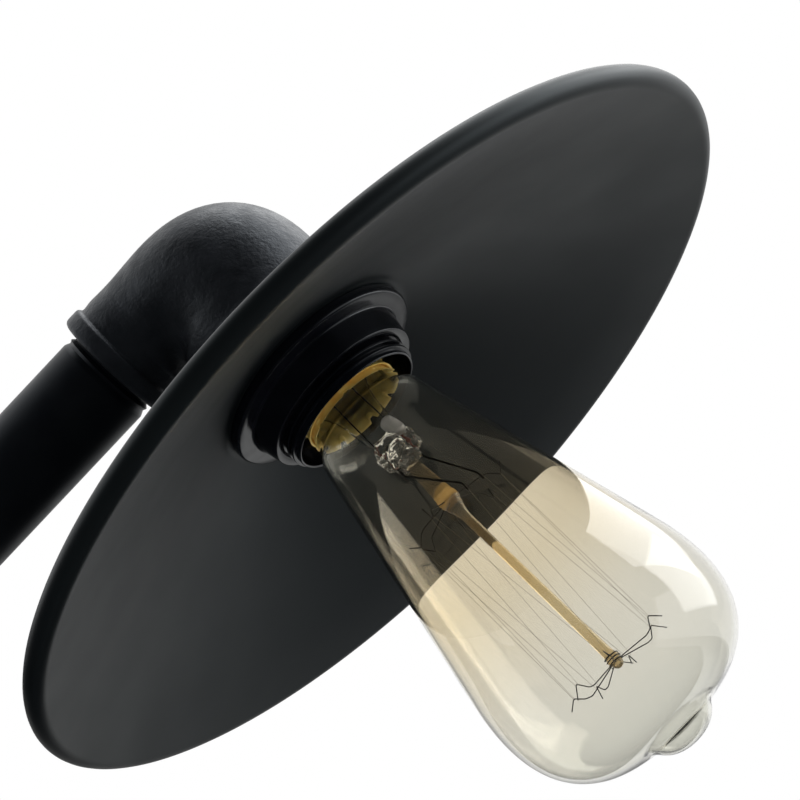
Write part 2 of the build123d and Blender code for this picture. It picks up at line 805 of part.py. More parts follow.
with BuildPart() as holder_leads:
    lead_from = head_centre + out_of_shade * flex_head_end
    for side in (-core_offset, core_offset):
        add(straight_rod(lead_from + across * side, out_of_shade, insert_rear - flex_head_end, core_dia))
with BuildPart() as centre_contact:
    with BuildSketch(profile_plane(insert_seat, out_of_shade)):
        with BuildLine():
            Polyline(
                (0, 0),
                (contact_dia / 2, 0),
                (contact_dia / 2, contact_rim),
                (contact_tip_dia / 2, contact_height),
                (0, contact_height),
                close=True,
            )
        make_face()
    revolve(axis=Axis(insert_seat, out_of_shade))
thread_length = cap_thread_turns * cap_thread_pitch
half_pitch = cap_thread_pitch / 2
wave = cap_thread_depth / 2
shell_foot = insert_front - bulb_foot
with BuildPart() as screw_shell:
    with BuildSketch(profile_plane(bulb_origin, out_of_shade)):
        with BuildLine():
            for middle in (shell_inner, shell_inner + shell_wall):
                Line((middle, shell_foot), (middle, cap_thread_start))
                for half in range(2 * cap_thread_turns):
                    start = cap_thread_start + half * half_pitch
                    swing = wave if half % 2 == 0 else -wave
                    ThreePointArc(
                        (middle, start), (middle + swing, start + half_pitch / 2), (middle, start + half_pitch)
                    )
                shell_end = cap_thread_start + thread_length
                Line((middle, shell_end), (middle + wave, shell_end + shell_rim))
            Line((shell_inner, shell_foot), (shell_inner + shell_wall, shell_foot))
            Line(
                (shell_inner + wave, shell_end + shell_rim),
                (shell_inner + shell_wall + wave, shell_end + shell_rim),
            )
        make_face()
    revolve(axis=Axis(bulb_origin, out_of_shade))

# Shade: a shallow cone of sheet, flat in the middle, with its rim rolled back round a wire
bead_radius = shade_bead_dia / 2
bead_reach = shade_dia / 2 - bead_radius
flat_radius = shade_flat_dia / 2
cone_run = bead_reach - flat_radius
cone_rise = shade_rim - shade_front
cone_slope = atan2(cone_rise, cone_run) + asin(bead_radius / sqrt(cone_run**2 + cone_rise**2))
back_depth = bead_radius - shade_sheet
back_chord = sqrt(bead_radius**2 - back_depth**2)
front_touch = (bead_reach - bead_radius * sin(cone_slope), shade_rim + bead_radius * cos(cone_slope))
back_touch = (
    bead_reach - back_depth * sin(cone_slope) - back_chord * cos(cone_slope),
    shade_rim + back_depth * cos(cone_slope) - back_chord * sin(cone_slope),
)
flat_back = flat_radius + shade_sheet * (1 - cos(cone_slope)) / sin(cone_slope)
with BuildPart() as shade:
    with BuildSketch(profile_plane(head_centre, out_of_shade)):
        with BuildLine():
            Line((holder_radius + free_gap, shade_front), (flat_radius, shade_front))
            Line((flat_radius, shade_front), front_touch)
            ThreePointArc(
                front_touch,
                (bead_reach + bead_radius * cos(cone_slope / 2), shade_rim - bead_radius * sin(cone_slope / 2)),
                back_touch,
            )
            Line(back_touch, (flat_back, shade_seat))
            Line((flat_back, shade_seat), (holder_radius + free_gap, shade_seat))
            Line((holder_radius + free_gap, shade_seat), (holder_radius + free_gap, shade_front))
        make_face()
    revolve(axis=Axis(head_centre, out_of_shade))

# Shade ring: flared flange and a plain barrel, screwed over the lampholder
edge_top = shade_front + ring_edge
flare_foot = edge_top + ring_flare
barrel_radius = ring_barrel_dia / 2
flange_radius = ring_flange_dia / 2
with BuildPart() as shade_ring:
    with BuildSketch(profile_plane(head_centre, out_of_shade)) as ring_half:
        with BuildLine():
            Line((holder_radius + running_gap, shade_front), (flange_radius, shade_front))
            Line((flange_radius, shade_front), (flange_radius, edge_top))
            ThreePointArc(
                (flange_radius, edge_top),
                (
                    barrel_radius + (flange_radius - barrel_radius) * (1 - sin(pi / 4)),
                    flare_foot - ring_flare * sin(pi / 4),
                ),
                (barrel_radius, flare_foot),
            )
            Line((barrel_radius, flare_foot), (barrel_radius, ring_end))
            Line((barrel_radius, ring_end), (holder_radius + running_gap, ring_end))
            Line((holder_radius + running_gap, ring_end), (holder_radius + running_gap, shade_front))
        make_face()
        fillet(ring_half.vertices().group_by(Axis.X)[-1], ring_edge_round)
    revolve(axis=Axis(head_centre, out_of_shade))

# Bulb cap: thin brass shell with a round thread, closed by an insulator and a contact
cap_lip = cap_lip_dia / 2
with BuildPart() as bulb_cap:
    with BuildSketch(profile_plane(bulb_origin, out_of_shade)):
        with BuildLine():
            cap_end = cap_thread_start + thread_length
            for middle in (cap_middle - cap_wall, cap_middle):
                inset = middle - cap_middle
                Line((eyelet_dia / 2, cap_foot - inset), (middle, cap_thread_start))
                for half in range(2 * cap_thread_turns):
                    start = cap_thread_start + half * half_pitch
                    swing = wave if half % 2 == 0 else -wave
                    ThreePointArc(
                        (middle, start), (middle + swing, start + half_pitch / 2), (middle, start + half_pitch)
                    )
                Line((middle, cap_end), (cap_lip + inset, cap_height))
            Line((eyelet_dia / 2, cap_foot + cap_wall), (eyelet_dia / 2, cap_foot))
            Line((cap_lip - cap_wall, cap_height), (cap_lip, cap_height))
        make_face()
    revolve(axis=Axis(bulb_origin, out_of_shade))
with BuildPart() as cap_insulator:
    with BuildSketch(profile_plane(bulb_origin, out_of_shade)):
        with BuildLine():
            Polyline(
                (0, tip_height),
                (tip_dia / 2, tip_height),
                (eyelet_dia / 2 - running_gap, cap_foot),
                (eyelet_dia / 2 - running_gap, cap_thread_start),
                (0, cap_thread_start),
                close=True,
            )
        make_face()
    revolve(axis=Axis(bulb_origin, out_of_shade))
with BuildPart() as cap_contact:
    with BuildSketch(profile_plane(bulb_origin, out_of_shade)):
        with BuildLine():
            Line((0, 0), (tip_dia / 4, 0))
            ThreePointArc(
                (tip_dia / 4, 0),
                (tip_dia / 4 * (1 + sin(pi / 4)), tip_height * (1 - sin(pi / 4))),
                (tip_dia / 2, tip_height),
            )
            Line((tip_dia / 2, tip_height), (0, tip_height))
            Line((0, tip_height), (0, 0))
        make_face()
    revolve(axis=Axis(bulb_origin, out_of_shade))

# Bulb glass: narrow neck, long cone, round belly and a sealed nub
neck_radius = cap_crest - cap_thread_depth - cap_wall - running_gap
shoulder_radius = shoulder_dia / 2
belly_radius = bulb_dia / 2 - belly_narrowing
cone_tangent = (belly_radius - shoulder_radius) / (belly_height - shoulder_height)
crown_height = bulb_length - crown_drop
nub_radius = nub_dia / 2
with BuildPart() as bulb_glass:
    with BuildSketch(profile_plane(bulb_origin, out_of_shade)):
        with BuildLine():
            for inset in (0, glass_wall):
                neck = neck_radius - inset
                shoulder = shoulder_radius - inset
                belly = belly_radius - inset
                crown = crown_height - inset
                tip = bulb_length - inset
                nub = nub_radius - inset
                flare_start = cap_height - neck_turn
                flare_pull = (shoulder_height - flare_start) / 2
                Line((neck, neck_start), (neck, flare_start))
                Bezier(
                    (neck, flare_start),
                    (neck, flare_start + flare_pull),
                    (shoulder - cone_tangent * flare_pull, shoulder_height - flare_pull),
                    (shoulder, shoulder_height),
                )
                Line((shoulder, shoulder_height), (belly, belly_height))
                belly_pull = (crown - belly_height) * belly_pull_shares[0]
                crown_pull = (belly - nub) * belly_pull_shares[1]
                Bezier(
                    (belly, belly_height),
                    (belly + cone_tangent * belly_pull, belly_height + belly_pull),
                    (nub + crown_pull, crown),
                    (nub, crown),
                )
                nub_points = [
                    (nub * wide, crown + (tip - crown) * high) for wide, high in nub_point_shares
                ]
                Spline((nub, crown), *nub_points, (0, tip), tangents=[(-1, 0), (-1, 0)])
            Line((neck_radius - glass_wall, neck_start), (neck_radius, neck_start))
            Line((0, bulb_length - glass_wall), (0, bulb_length))
        make_face()
    revolve(axis=Axis(bulb_origin, out_of_shade))

# Glass stem that closes the neck, with a flat pinch round the leads
stem_edge = neck_radius - glass_wall - running_gap
tube_radius = stem_tube_dia / 2
flare_top = neck_start + stem_flare_edge + stem_flare_height
with BuildPart() as bulb_stem:
    with BuildSketch(profile_plane(bulb_origin, out_of_shade)):
        with BuildLine():
            Polyline(
                (stem_edge - glass_wall, neck_start),
                (stem_edge, neck_start),
                (stem_edge, neck_start + stem_flare_edge),
                (tube_radius, flare_top),
                (tube_radius, pinch_start + pinch_round),
                (0, pinch_start + pinch_round),
                (0, pinch_start),
                (tube_radius - glass_wall, pinch_start),
                (tube_radius - glass_wall, flare_top),
                close=True,
            )
        make_face()
    revolve(axis=Axis(bulb_origin, out_of_shade))
    with BuildSketch(square_plane(bulb_origin + out_of_shade * pinch_start, out_of_shade)):
        RectangleRounded(pinch_thickness, pinch_width, pinch_round)
    extrude(amount=pinch_height)

# Glass rod with an upper and a lower button that hold the hooks
pinch_top = pinch_start + pinch_height
with BuildPart() as glass_rod:
    with BuildSketch(profile_plane(bulb_origin, out_of_shade)):
        with BuildLine():
            rod_points = [(0, pinch_top), (rod_dia / 2, pinch_top)]
            for centre, width in ((upper_button, button_dia), (lower_button, lower_button_dia)):
                rod_points.append((rod_dia / 2, centre - button_height))
                rod_points.append((width / 2, centre - button_height / 2))
                rod_points.append((width / 2, centre + button_height / 2))
                rod_points.append((rod_dia / 2, centre + button_height))
            Polyline(*rod_points, (rod_dia / 2, rod_end + button_height), (0, rod_end + button_height), close=True)
        make_face()
    revolve(axis=Axis(bulb_origin, out_of_shade))

# Wire cage: hooks in the two buttons, and one filament that runs up and down between them
cage_radius = cage_dia / 2
upper_hook_count = lower_hook_count - 1
cage_count = upper_hook_count + lower_hook_count + 2
cage_step = 360 / cage_count
cage_angles = [180 + (place + 1 / 2) * cage_step for place in range(cage_count)]
hook_lift = (filament_dia + hook_dia) / 2 + running_gap
hook_end = cage_radius + hook_overhang
hook_step = cage_radius * hook_step_share
with BuildPart() as upper_hooks:
    for angle in cage_angles[2:-1:2]:
        hook_level = cage_top + hook_lift
        add(
            round_wire(
                (
                    on_bulb(rod_dia / 2, angle, upper_button),
                    on_bulb(hook_step, angle, upper_button),
                    on_bulb(cage_radius - hook_overhang, angle, hook_level),
                    on_bulb(hook_end, angle, hook_level),
                ),
                hook_dia,
                hook_bend,
            )
        )
with BuildPart() as lower_hooks:
    for angle in cage_angles[1::2]:
        hook_level = cage_bottom - hook_lift
        add(
            round_wire(
                (
                    on_bulb(rod_dia / 2, angle, lower_button),
                    on_bulb(hook_step, angle, lower_button),
                    on_bulb((hook_step + cage_radius) / 2, angle, hook_level - hook_kick),
                    on_bulb(cage_radius - hook_overhang / 2, angle, hook_level),
                    on_bulb(hook_end, angle, hook_level),
                ),
                hook_dia,
                hook_bend,
            )
        )
loop_angle = cage_loop / cage_radius * 180 / pi / 2
lead_end = cage_radius - (lead_dia + filament_dia) / 2 - running_gap
with BuildPart() as filament:
    filament_points = [on_bulb(cage_radius, cage_angles[0], cage_top)]
    for place, angle in enumerate(cage_angles[1:-1]):
        level = cage_bottom if place % 2 == 0 else cage_top
        filament_points.append(on_bulb(cage_radius, angle - loop_angle, level))
        filament_points.append(on_bulb(cage_radius, angle + loop_angle, level))
    filament_points.append(on_bulb(cage_radius, cage_angles[-1], cage_top))
    add(round_wire(filament_points, filament_dia, cage_bend))
with BuildPart() as lead_wires:
    for side_angle, end_angle in ((270, cage_angles[0]), (90, cage_angles[-1])):
        add(
            round_wire(
                (
                    on_bulb(lead_offset, side_angle, lead_start),
                    on_bulb(lead_offset, side_angle, pinch_top + lead_bend),
                    on_bulb(lead_end, end_angle, cage_top - lead_bend),
                    on_bulb(lead_end, end_angle, cage_top + lead_bend / 2),
                ),
                lead_dia,
                lead_bend / 2,
            )
        )

pieces = {
    "base_pad": base_pad,
    "base_cover": base_cover,
    "cover_screws": cover_screws,
    "base_casting": base_casting,
    "floor_flange": floor_flange,
    "flange_bolts": flange_bolts,
    "flange_nuts": flange_nuts,
    "switch_body": switch_body,
    "switch_bush": switch_bush,
    "switch_nut": switch_nut,
    "switch_lever": switch_lever,
    "cord_gland": cord_gland,
    "gland_nut": gland_nut,
    "terminal_block": terminal_block,
    "terminal_sleeves": terminal_sleeves,
    "terminal_screws": terminal_screws,
    "block_screw": block_screw,
    "foot_wires": foot_wires,
    "stem_pipe": stem_pipe,
    "stem_flex": stem_flex,
    "bend_elbow": bend_elbow,
    "arm_pipe": arm_pipe,
    "arm_flex": arm_flex,
    "head_elbow": head_elbow,
    "head_flex": head_flex,
    "holder_body": holder_body,
    "holder_insert": holder_insert,
    "holder_screws": holder_screws,
    "holder_leads": holder_leads,
    "screw_shell": screw_shell,
    "centre_contact": centre_contact,
    "shade": shade,
    "shade_ring": shade_ring,
    "bulb_cap": bulb_cap,
    "cap_insulator": cap_insulator,
    "cap_contact": cap_contact,
    "bulb_glass": bulb_glass,
    "bulb_stem": bulb_stem,
    "glass_rod": glass_rod,
    "upper_hooks": upper_hooks,
    "lower_hooks": lower_hooks,
    "filament": filament,
    "lead_wires": lead_wires,
}
os.makedirs("parts", exist_ok=True)
for name, piece in pieces.items():
    piece.part.label = name
    export_step(piece.part, f"parts/{name}.step")
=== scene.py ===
"""Looks of the pipe table lamp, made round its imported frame: a cast elbow, fine turned pieces for the shade,
the lampholder and the bulb, bent wires for the bulb's cage, and a finish for every piece. The world is in metres
with +Z up. Sizes of pieces and patterns are in millimetres."""

import bpy
import json
from math import asin, atan2, cos, degrees, pi, radians, sin, sqrt
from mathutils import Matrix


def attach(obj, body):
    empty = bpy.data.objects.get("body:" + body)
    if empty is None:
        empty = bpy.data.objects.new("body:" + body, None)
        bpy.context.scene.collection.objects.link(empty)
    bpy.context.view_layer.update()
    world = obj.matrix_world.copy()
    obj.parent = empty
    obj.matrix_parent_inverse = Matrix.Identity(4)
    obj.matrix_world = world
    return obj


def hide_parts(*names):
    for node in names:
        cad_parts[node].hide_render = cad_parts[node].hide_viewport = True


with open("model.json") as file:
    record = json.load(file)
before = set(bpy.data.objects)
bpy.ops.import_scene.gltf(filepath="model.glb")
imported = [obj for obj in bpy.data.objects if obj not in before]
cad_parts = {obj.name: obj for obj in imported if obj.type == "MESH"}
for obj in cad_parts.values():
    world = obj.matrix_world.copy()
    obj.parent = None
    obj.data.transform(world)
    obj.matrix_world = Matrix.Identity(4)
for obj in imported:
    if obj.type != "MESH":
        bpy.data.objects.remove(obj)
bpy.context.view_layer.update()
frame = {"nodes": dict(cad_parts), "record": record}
nodes = frame["nodes"]
mm = 0.001
weld = 0.002 * mm

# The head's own axes: its centre, and the turn about Y that points +Z out of the shade. The bulb's own heights
# count from its foot on that axis
head_centre = frame["record"]["behaviour"]["joints"][1]["pos_m"]
head_turn = radians(135)
bulb_foot = 30.4


def select_only(piece=None):
    """Leaves just one piece selected, or none."""
    if bpy.context.object and bpy.context.object.mode != "OBJECT":
        bpy.ops.object.mode_set(mode="OBJECT")
    bpy.ops.object.select_all(action="DESELECT")
    if piece:
        piece.select_set(True)
        bpy.context.view_layer.objects.active = piece


def named(piece, name):
    """Gives a piece and its mesh one name."""
    piece.name = name
    piece.data.name = name
    return piece


def apply_place():
    """Moves the selected piece's place, turn and scale into its mesh."""
    bpy.ops.object.transform_apply(location=True, rotation=True, scale=True)


def start_piece(name):
    """A new mesh of one vertex at the origin, open in edit mode."""
    select_only()
    bpy.ops.mesh.primitive_plane_add(size=mm)
    piece = named(bpy.context.object, name)
    bpy.ops.object.mode_set(mode="EDIT")
    bpy.ops.mesh.select_all(action="SELECT")
    bpy.ops.mesh.merge(type="CENTER")
    return piece


def draw_chain(points):
    """Moves the selected vertex to the first point and pulls a chain of edges through the others."""
    bpy.ops.transform.translate(value=points[0])
    for last, point in zip(points, points[1:]):
        step = [b - a for a, b in zip(last, point)]
        bpy.ops.mesh.extrude_region_move(TRANSFORM_OT_translate={"value": step})


def set_in_head(piece):
    """Turns a piece that was made about the world's Z axis into the head, place and all."""
    select_only(piece)
    piece.rotation_euler = (0, head_turn, 0)
    piece.location = head_centre
    apply_place()


def turned(name, outline, sides, sharp=35):
    """A turned piece: an outline of radius and height, closed and spun about the shade's axis."""
    piece = start_piece(name)
    points = [(radius * mm, 0, height * mm) for radius, height in outline]
    draw_chain(points + points[:1])
    bpy.ops.mesh.select_all(action="SELECT")
    bpy.ops.mesh.remove_doubles(threshold=weld)
    bpy.ops.mesh.spin(steps=sides, angle=2 * pi, center=(0, 0, 0), axis=(0, 0, 1))
    bpy.ops.mesh.select_all(action="SELECT")
    bpy.ops.mesh.remove_doubles(threshold=weld)
    bpy.ops.mesh.normals_make_consistent(inside=False)
    bpy.ops.object.mode_set(mode="OBJECT")
    bpy.ops.object.shade_smooth_by_angle(angle=radians(sharp))
    return piece


def bezier(start, pull_start, pull_end, end, steps):
    """Points of a cubic curve, without its first one."""
    corners = (start, pull_start, pull_end, end)
    points = []
    for step in range(1, steps + 1):
        t = step / steps
        weights = ((1 - t) ** 3, 3 * t * (1 - t) ** 2, 3 * t * t * (1 - t), t ** 3)
        points.append(tuple(sum(w * c[axis] for w, c in zip(weights, corners)) for axis in (0, 1)))
    return points


def arc(centre, radius, start, end, steps):
    """Points of a circular arc between two angles in degrees, both ends included."""
    points = []
    for step in range(steps + 1):
        angle = radians(start + (end - start) * step / steps)
        points.append((centre[0] + radius * cos(angle), centre[1] + radius * sin(angle)))
    return points


def between(start, end, shares):
    """Points on the straight line between two points, at shares of its length."""
    return [tuple(a + (b - a) * share for a, b in zip(start, end)) for share in shares]


def up_bulb(outline):
    """An outline with heights on the bulb, moved up the head's axis."""
    return [(radius, height + bulb_foot) for radius, height in outline]


# Camera: nearly the photograph's place, below and before the head
bpy.ops.object.camera_add(location=(0.27463, -0.4895, 0.22814))
camera = bpy.context.object
camera.rotation_euler = [radians(angle) for angle in (102.405, -0.797, 16.569)]
camera.data.sensor_width = 36
camera.data.lens = 94.81
camera.data.shift_x = 0.081
camera.data.shift_y = 0.068
camera.data.clip_start = 0.01
bpy.context.scene.camera = camera

# Elbow: bead, hollow fillet, a bend whose back runs straight and then fills out to the cup, and the cup's broad
# bead. The beads have depths from their face and radii. Each ring has its place down the arm, its place out of
# the shade, its radius and its turn
leg_radius, cup_radius, crotch = 15.9, 23.3, 3.2
leg_face, cup_face = 36.0, 35.0
elbow_sides, bend_steps = 112, 32
fill_start, fill_end, back_bulge = 2.2, 4.5, 1.5
leg_fillet, fillet_fade = 0.42, 8
leg_bead = (
    (0, 13.7), (0.01, 15.4), (0.1, 16.3), (0.4, 16.85), (0.9, 17.2), (1.5, 17.3), (4.2, 17.3), (4.7, 17.22),
    (5.0, 17.02), (5.2, 16.75), (5.32, 16.5), (5.5, 16.28), (5.8, 16.14), (6.3, 16.1), (7.2, 16.18), (8.2, 16.3),
)
cup_bead = (
    (12.0, 23.3), (11.0, 23.4), (10.2, 23.65), (9.6, 24.1), (9.1, 24.6), (8.4, 25.0), (7.5, 25.25), (6.6, 25.3),
    (2.4, 25.3), (1.4, 25.1), (0.6, 24.6), (0.15, 23.9), (0.0, 22.9), (-0.01, 20.0),
)
rings = [(leg_face - depth, 0, radius, 0) for depth, radius in leg_bead]
for section in range(bend_steps + 1):
    share = section / bend_steps
    turn = share * pi / 2
    filled = 1 - (1 - share ** fill_start) ** fill_end
    back = 2 * leg_radius + crotch + 2 * (cup_radius - leg_radius) * filled
    back += back_bulge * sin(pi * share ** 2)
    radius = (leg_radius + (cup_radius - leg_radius) * share) / 2 + (back - crotch) / 4
    reach = back - radius
    radius += leg_fillet * (1 - share) ** fillet_fade
    down = cup_radius + crotch - reach * sin(turn)
    out = leg_radius + crotch - reach * cos(turn)
    rings.append((down, out, radius, turn))
rings += [(0, cup_face - depth, radius, pi / 2) for depth, radius in cup_bead]
select_only()
down, out, radius, turn = rings[0]
bpy.ops.mesh.primitive_circle_add(vertices=elbow_sides, radius=radius * mm, location=(down * mm, 0, out * mm),
                                  rotation=(0, pi / 2 - turn, 0))
elbow_cast = named(bpy.context.object, "elbow_cast")
apply_place()
bpy.ops.object.mode_set(mode="EDIT")
bpy.ops.mesh.select_all(action="SELECT")
for (last_down, last_out, last_radius, last_turn), (down, out, radius, turn) in zip(rings, rings[1:]):
    middle = (down * mm, 0, out * mm)
    step = ((down - last_down) * mm, 0, (out - last_out) * mm)
    bpy.ops.mesh.extrude_region_move(TRANSFORM_OT_translate={"value": step})
    bpy.ops.transform.resize(value=(radius / last_radius,) * 3, center_override=middle)
    bpy.ops.transform.rotate(value=last_turn - turn, orient_axis="Y", center_override=middle)
bpy.ops.mesh.select_all(action="SELECT")
bpy.ops.mesh.normals_make_consistent(inside=False)
bpy.ops.object.mode_set(mode="OBJECT")
bpy.ops.object.shade_smooth_by_angle(angle=radians(50))
set_in_head(elbow_cast)
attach(elbow_cast, "head")
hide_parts("head_elbow")

# Shade: straight cone with a soft break at its flat middle and a rim rolled back round a wire
shade_seat, shade_front, shade_rim = 41.0, 41.9, 68.0
bead_reach, bead_radius, sheet = 108.6, 3.0, 0.9
flat_radius, shade_hole, soft_break = 30.0, 20.1, 1.5
run, rise = bead_reach - flat_radius, shade_rim - shade_front
slope = atan2(rise, run) + asin(bead_radius / sqrt(run ** 2 + rise ** 2))
front_touch = (bead_reach - bead_radius * sin(slope), shade_rim + bead_radius * cos(slope))
back_depth = bead_radius - sheet
back_chord = sqrt(bead_radius ** 2 - back_depth ** 2)
back_touch = (
    bead_reach - back_depth * sin(slope) - back_chord * cos(slope),
    shade_rim + back_depth * cos(slope) - back_chord * sin(slope),
)
front_corner = (flat_radius, shade_front)
back_corner = (flat_radius + sheet * (1 - cos(slope)) / sin(slope), shade_seat)
cone_start = (flat_radius + soft_break * cos(slope), shade_front + soft_break * sin(slope))
bead_start = 90 + degrees(slope)
bead_end = degrees(slope - atan2(back_depth, back_chord)) - 180
outline = [(shade_hole, shade_front), (flat_radius - soft_break, shade_front)]
outline += bezier(outline[-1], front_corner, front_corner, cone_start, steps=5)
outline += between(front_corner, front_touch, (0.2, 0.4, 0.6, 0.8))
outline += arc((bead_reach, shade_rim), bead_radius, bead_start, bead_end, steps=24)
outline += between(back_corner, back_touch, (0.75, 0.5, 0.25))
outline += [back_corner, (shade_hole, shade_seat)]
shade_cone = turned("shade_cone", outline, sides=256)
set_in_head(shade_cone)
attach(shade_cone, "head")
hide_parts("shade")

# Shade ring: flat flange with a rounded edge, a small fillet and a barrel that narrows a little
ring_bore, ring_end, ring_edge, face_height = 19.85, 52.1, 28.6, 2.1
back_round, face_round, end_round, bore_chamfer = 0.4, 0.9, 0.4, 0.3
outline = [(ring_bore, shade_front), (ring_edge - back_round, shade_front)]
outline += arc((ring_edge - back_round, shade_front + back_round), back_round, -90, 0, steps=3)
outline += arc((ring_edge - face_round, shade_front + face_height), face_round, 0, 80, steps=6)
outline += [(26.2, 44.95), (24.5, 45.05)]
outline += bezier(outline[-1], (24.0, 45.08), (23.7, 45.3), (23.6, 45.9), steps=5)
outline += [(23.2, 48.0), (22.7, 50.4)]
outline += arc((22.1, ring_end - end_round), end_round, 10, 90, steps=4)
outline += [(ring_bore + bore_chamfer, ring_end), (ring_bore, ring_end - bore_chamfer)]
ring_turned = turned("ring_turned", outline, sides=160, sharp=50)
set_in_head(ring_turned)
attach(ring_turned, "head")
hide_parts("shade_ring")

# Lampholder: collar behind the shade, square thread ridges before it, and a thin rolled lip. A ridge has shares
# of the pitch and depths under the holder's face
holder_radius, holder_bore, flex_hole = 19.8, 17.3, 4.5
thread_foot, thread_pitch, thread_ridges = 51.6, 1.95, 2
ridge_profile = (
    (0.02, 0.95), (0.06, 1.12), (0.12, 1.15), (0.42, 1.15), (0.5, 1.0),
    (0.58, 0.15), (0.64, 0.03), (0.72, 0.0), (0.96, 0.0), (1.0, 0.05),
)
outline = [
    (flex_hole, 17.5), (19.3, 17.5), (holder_radius, 18.0), (holder_radius, 35.0), (23.6, 35.0), (24.0, 35.4),
    (24.0, 40.6), (23.6, shade_seat), (holder_radius, shade_seat), (holder_radius, 51.4),
]
for ridge in range(thread_ridges):
    foot = thread_foot + ridge * thread_pitch
    outline += [(holder_radius - depth, foot + share * thread_pitch) for share, depth in ridge_profile]
outline += [(19.0, 55.54), (18.95, 56.0)]
outline += arc((18.6, 56.65), 0.35, 0, 180, steps=8)
outline += [(18.2, 56.0), (18.1, 52.5), (holder_bore, 51.5), (holder_bore, 35.0), (holder_bore, 20.5)]
outline += [(flex_hole, 20.5)]
holder_turned = turned("holder_turned", outline, sides=160, sharp=50)
set_in_head(holder_turned)
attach(holder_turned, "head")
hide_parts("holder_body")

# Bulb glass: neck, long cone, round belly and sealed nub, with a wall of real thickness
glass_thickness = 0.8
neck_radius, shoulder_radius, belly_radius, nub_radius = 11.65, 16.6, 31.0, 12.0
flare_height, shoulder_height, belly_height, crown_height, tip_height = 25.5, 33.0, 100.5, 137.2, 142.8


def glass_wall(inset):
    """Outline of the glass from the neck's foot to the tip, a wall's thickness in or out."""
    neck, shoulder = neck_radius - inset, (shoulder_radius - inset, shoulder_height)
    belly, nub = belly_radius - inset, nub_radius - inset
    crown, tip = crown_height - inset, tip_height - inset
    tangent = (belly_radius - shoulder_radius) / (belly_height - shoulder_height)
    pull = (shoulder_height - flare_height) / 2
    wall = [(neck, height) for height in (17.0, 20.0, 23.0, flare_height)]
    wall += bezier(wall[-1], (neck, flare_height + pull), (shoulder[0] - tangent * pull, shoulder_height - pull),
                   shoulder, steps=12)
    wall += between(shoulder, (belly, belly_height), [step / 12 for step in range(1, 13)])
    belly_pull, crown_pull = (crown - belly_height) * 0.65, (belly - nub) * 0.78
    wall += bezier(wall[-1], (belly + tangent * belly_pull, belly_height + belly_pull),
                   (nub + crown_pull, crown - crown_pull * 0.14), (nub, crown), steps=36)
    rise = tip - crown
    wall += bezier(wall[-1], (nub * 0.867, crown + rise * 0.04), (nub * 0.767, crown + rise * 0.14),
                   (nub * 0.692, crown + rise * 0.375), steps=8)
    wall += bezier(wall[-1], (nub * 0.6, crown + rise * 0.66), (nub * 0.383, tip), (0, tip), steps=12)
    return up_bulb(wall)


outline = glass_wall(0) + glass_wall(glass_thickness)[::-1]
bulb_envelope = turned("bulb_envelope", outline, sides=160, sharp=60)
set_in_head(bulb_envelope)
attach(bulb_envelope, "bulb")
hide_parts("bulb_glass")

# Brass cap: round thread, flared lip and the crimps that grip the glass, at uneven places in degrees
cap_wall, cap_middle, cap_start, cap_pitch, cap_turns = 0.4, 12.6, 5.0, 3.6, 5
cap_wave, wave_steps = 0.5, 10
lip_radius, lip_height = 13.9, 26.5
crimp_places = (8, 47, 95, 131, 178, 214, 262, 310, 341)
crimp_half, crimp_floor, crimp_push, crimp_drop = 3.2, 25.2, 0.9, 0.8


def cap_side(inset):
    """Outline of the cap's wall from its foot to the lip, a wall's thickness in or out."""
    middle = cap_middle - inset
    side = [(8.5, 3.0 + inset), (middle - 0.9, cap_start - 0.5), (middle, cap_start)]
    for step in range(1, cap_turns * wave_steps + 1):
        wave = cap_wave * sin(2 * pi * step / wave_steps)
        side.append((middle + wave, cap_start + cap_pitch * step / wave_steps))
    lip = cap_start + cap_pitch * cap_turns
    side += bezier((middle, lip), (middle, lip + 1.6), (middle + 0.5, lip + 2.4),
                   (lip_radius - inset, lip_height - inset * 0.2), steps=8)
    return up_bulb(side)


cap_turned = turned("cap_turned", cap_side(0) + cap_side(cap_wall)[::-1], sides=144, sharp=50)
for crimp in crimp_places:
    for vertex in cap_turned.data.vertices:
        place = degrees(atan2(vertex.co.y, vertex.co.x)) % 360
        vertex.select = abs(place - crimp) < crimp_half and vertex.co.z > (bulb_foot + crimp_floor) * mm
    for part in (cap_turned.data.edges, cap_turned.data.polygons):
        for item in part:
            item.select = False
    bpy.ops.object.mode_set(mode="EDIT")
    bpy.ops.mesh.select_mode(type="VERT")
    outward = radians(crimp)
    push = (-crimp_push * mm * cos(outward), -crimp_push * mm * sin(outward), -crimp_drop * mm)
    bpy.ops.transform.translate(value=push)
    bpy.ops.object.mode_set(mode="OBJECT")
set_in_head(cap_turned)
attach(cap_turned, "bulb")
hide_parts("bulb_cap")

# Glass rod: smoky cone from the pinch to the amber button, a clear collar, the slim amber rod and its wrapped end
outline = [(0, 47.0), (1.8, 47.0), (1.9, 48.5), (2.2, 52.5), (2.6, 57.6)]
outline += arc((2.2, 59.0), 0.7, -50, 0, steps=4)
outline += arc((2.2, 60.4), 0.7, 0, 40, steps=3)
outline += [(2.3, 61.6), (2.2, 62.4), (1.7, 63.8), (1.25, 65.8), (1.2, 80.0), (1.4, 112.6), (1.5, 114.4)]
outline += arc((1.3, 116.0), 0.6, -60, 60, steps=6)
outline += [(1.5, 117.2), (1.35, 118.0), (0.8, 118.6), (0, 118.8)]
rod_turned = turned("rod_turned", up_bulb(outline), sides=64, sharp=60)
set_in_head(rod_turned)
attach(rod_turned, "bulb")
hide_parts("glass_rod")

